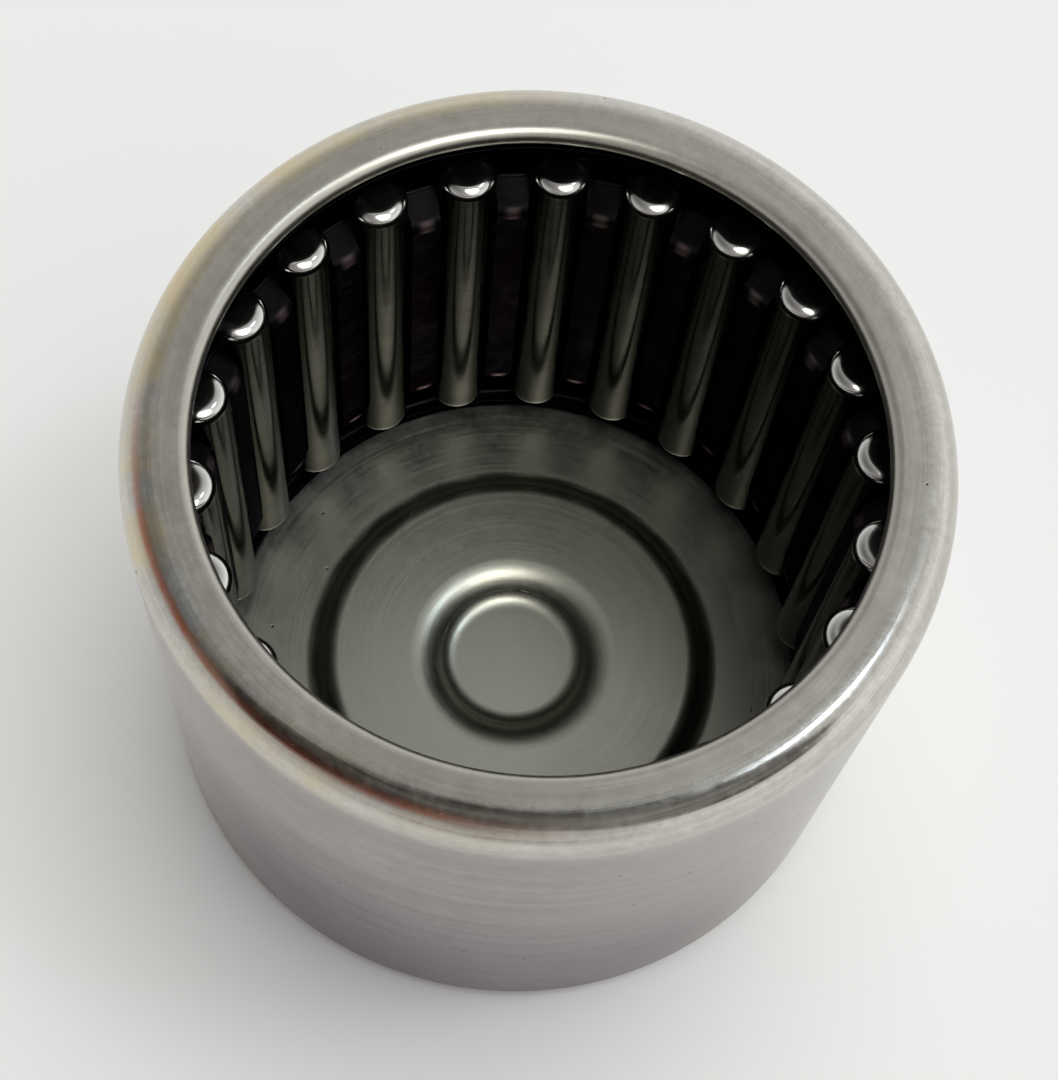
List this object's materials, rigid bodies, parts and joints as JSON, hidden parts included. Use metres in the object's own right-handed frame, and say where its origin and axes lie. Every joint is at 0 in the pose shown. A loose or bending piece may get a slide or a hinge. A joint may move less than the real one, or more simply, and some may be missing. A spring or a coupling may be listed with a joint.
{
  "type": "needle roller bearing",
  "caption": "Drawn cup needle roller bearing with one closed end: thin steel cup with a turned-in lip, pressed cage and separate needle rollers.",
  "frame": {"origin": "on the bearing's axis, at the underside of the closed end", "axes": "+Z along the bearing's axis towards the open mouth; +X through the middle of needle_roller_01"},
  "size_m": [0.032, 0.032, 0.026],
  "materials": {
    "cup_steel": "satin drawn and hardened sheet steel with fine concentric tool marks",
    "cage_steel": "dark oiled sheet steel",
    "roller_steel": "ground and polished bearing steel"
  },
  "bodies": {
    "cup": {"drawn_cup": "cup_steel"},
    "cage": {"cage": "cage_steel"},
    "needle_roller_01": {"needle_roller_01": "roller_steel"},
    "needle_roller_02": {"needle_roller_02": "roller_steel"},
    "needle_roller_03": {"needle_roller_03": "roller_steel"},
    "needle_roller_04": {"needle_roller_04": "roller_steel"},
    "needle_roller_05": {"needle_roller_05": "roller_steel"},
    "needle_roller_06": {"needle_roller_06": "roller_steel"},
    "needle_roller_07": {"needle_roller_07": "roller_steel"},
    "needle_roller_08": {"needle_roller_08": "roller_steel"},
    "needle_roller_09": {"needle_roller_09": "roller_steel"},
    "needle_roller_10": {"needle_roller_10": "roller_steel"},
    "needle_roller_11": {"needle_roller_11": "roller_steel"},
    "needle_roller_12": {"needle_roller_12": "roller_steel"},
    "needle_roller_13": {"needle_roller_13": "roller_steel"},
    "needle_roller_14": {"needle_roller_14": "roller_steel"},
    "needle_roller_15": {"needle_roller_15": "roller_steel"},
    "needle_roller_16": {"needle_roller_16": "roller_steel"},
    "needle_roller_17": {"needle_roller_17": "roller_steel"},
    "needle_roller_18": {"needle_roller_18": "roller_steel"},
    "needle_roller_19": {"needle_roller_19": "roller_steel"},
    "needle_roller_20": {"needle_roller_20": "roller_steel"},
    "needle_roller_21": {"needle_roller_21": "roller_steel"},
    "needle_roller_22": {"needle_roller_22": "roller_steel"}
  },
  "joints": [
    {"name": "cage_spin", "type": "hinge", "parent": "cup", "child": "cage", "pos_m": [0, 0, 0.013], "axis": [0, 0, 1], "continuous": true},
    {"name": "needle_roller_01_spin", "type": "hinge", "parent": "cage", "child": "needle_roller_01", "pos_m": [0.01375, 0, 0.013], "axis": [0, 0, 1], "continuous": true},
    {"name": "needle_roller_02_spin", "type": "hinge", "parent": "cage", "child": "needle_roller_02", "pos_m": [0.01319, 0.00387, 0.013], "axis": [0, 0, 1], "continuous": true},
    {"name": "needle_roller_03_spin", "type": "hinge", "parent": "cage", "child": "needle_roller_03", "pos_m": [0.01157, 0.00743, 0.013], "axis": [0, 0, 1], "continuous": true},
    {"name": "needle_roller_04_spin", "type": "hinge", "parent": "cage", "child": "needle_roller_04", "pos_m": [0.009, 0.01039, 0.013], "axis": [0, 0, 1], "continuous": true},
    {"name": "needle_roller_05_spin", "type": "hinge", "parent": "cage", "child": "needle_roller_05", "pos_m": [0.00571, 0.01251, 0.013], "axis": [0, 0, 1], "continuous": true},
    {"name": "needle_roller_06_spin", "type": "hinge", "parent": "cage", "child": "needle_roller_06", "pos_m": [0.00196, 0.01361, 0.013], "axis": [0, 0, 1], "continuous": true},
    {"name": "needle_roller_07_spin", "type": "hinge", "parent": "cage", "child": "needle_roller_07", "pos_m": [-0.00196, 0.01361, 0.013], "axis": [0, 0, 1], "continuous": true},
    {"name": "needle_roller_08_spin", "type": "hinge", "parent": "cage", "child": "needle_roller_08", "pos_m": [-0.00571, 0.01251, 0.013], "axis": [0, 0, 1], "continuous": true},
    {"name": "needle_roller_09_spin", "type": "hinge", "parent": "cage", "child": "needle_roller_09", "pos_m": [-0.009, 0.01039, 0.013], "axis": [0, 0, 1], "continuous": true},
    {"name": "needle_roller_10_spin", "type": "hinge", "parent": "cage", "child": "needle_roller_10", "pos_m": [-0.01157, 0.00743, 0.013], "axis": [0, 0, 1], "continuous": true},
    {"name": "needle_roller_11_spin", "type": "hinge", "parent": "cage", "child": "needle_roller_11", "pos_m": [-0.01319, 0.00387, 0.013], "axis": [0, 0, 1], "continuous": true},
    {"name": "needle_roller_12_spin", "type": "hinge", "parent": "cage", "child": "needle_roller_12", "pos_m": [-0.01375, 0, 0.013], "axis": [0, 0, 1], "continuous": true},
    {"name": "needle_roller_13_spin", "type": "hinge", "parent": "cage", "child": "needle_roller_13", "pos_m": [-0.01319, -0.00387, 0.013], "axis": [0, 0, 1], "continuous": true},
    {"name": "needle_roller_14_spin", "type": "hinge", "parent": "cage", "child": "needle_roller_14", "pos_m": [-0.01157, -0.00743, 0.013], "axis": [0, 0, 1], "continuous": true},
    {"name": "needle_roller_15_spin", "type": "hinge", "parent": "cage", "child": "needle_roller_15", "pos_m": [-0.009, -0.01039, 0.013], "axis": [0, 0, 1], "continuous": true},
    {"name": "needle_roller_16_spin", "type": "hinge", "parent": "cage", "child": "needle_roller_16", "pos_m": [-0.00571, -0.01251, 0.013], "axis": [0, 0, 1], "continuous": true},
    {"name": "needle_roller_17_spin", "type": "hinge", "parent": "cage", "child": "needle_roller_17", "pos_m": [-0.00196, -0.01361, 0.013], "axis": [0, 0, 1], "continuous": true},
    {"name": "needle_roller_18_spin", "type": "hinge", "parent": "cage", "child": "needle_roller_18", "pos_m": [0.00196, -0.01361, 0.013], "axis": [0, 0, 1], "continuous": true},
    {"name": "needle_roller_19_spin", "type": "hinge", "parent": "cage", "child": "needle_roller_19", "pos_m": [0.00571, -0.01251, 0.013], "axis": [0, 0, 1], "continuous": true},
    {"name": "needle_roller_20_spin", "type": "hinge", "parent": "cage", "child": "needle_roller_20", "pos_m": [0.009, -0.01039, 0.013], "axis": [0, 0, 1], "continuous": true},
    {"name": "needle_roller_21_spin", "type": "hinge", "parent": "cage", "child": "needle_roller_21", "pos_m": [0.01157, -0.00743, 0.013], "axis": [0, 0, 1], "continuous": true},
    {"name": "needle_roller_22_spin", "type": "hinge", "parent": "cage", "child": "needle_roller_22", "pos_m": [0.01319, -0.00387, 0.013], "axis": [0, 0, 1], "continuous": true}
  ],
  "couplings": [
    {"joint": "needle_roller_01_spin", "follows": "cage_spin", "ratio": -12},
    {"joint": "needle_roller_02_spin", "follows": "cage_spin", "ratio": -12},
    {"joint": "needle_roller_03_spin", "follows": "cage_spin", "ratio": -12},
    {"joint": "needle_roller_04_spin", "follows": "cage_spin", "ratio": -12},
    {"joint": "needle_roller_05_spin", "follows": "cage_spin", "ratio": -12},
    {"joint": "needle_roller_06_spin", "follows": "cage_spin", "ratio": -12},
    {"joint": "needle_roller_07_spin", "follows": "cage_spin", "ratio": -12},
    {"joint": "needle_roller_08_spin", "follows": "cage_spin", "ratio": -12},
    {"joint": "needle_roller_09_spin", "follows": "cage_spin", "ratio": -12},
    {"joint": "needle_roller_10_spin", "follows": "cage_spin", "ratio": -12},
    {"joint": "needle_roller_11_spin", "follows": "cage_spin", "ratio": -12},
    {"joint": "needle_roller_12_spin", "follows": "cage_spin", "ratio": -12},
    {"joint": "needle_roller_13_spin", "follows": "cage_spin", "ratio": -12},
    {"joint": "needle_roller_14_spin", "follows": "cage_spin", "ratio": -12},
    {"joint": "needle_roller_15_spin", "follows": "cage_spin", "ratio": -12},
    {"joint": "needle_roller_16_spin", "follows": "cage_spin", "ratio": -12},
    {"joint": "needle_roller_17_spin", "follows": "cage_spin", "ratio": -12},
    {"joint": "needle_roller_18_spin", "follows": "cage_spin", "ratio": -12},
    {"joint": "needle_roller_19_spin", "follows": "cage_spin", "ratio": -12},
    {"joint": "needle_roller_20_spin", "follows": "cage_spin", "ratio": -12},
    {"joint": "needle_roller_21_spin", "follows": "cage_spin", "ratio": -12},
    {"joint": "needle_roller_22_spin", "follows": "cage_spin", "ratio": -12}
  ]
}
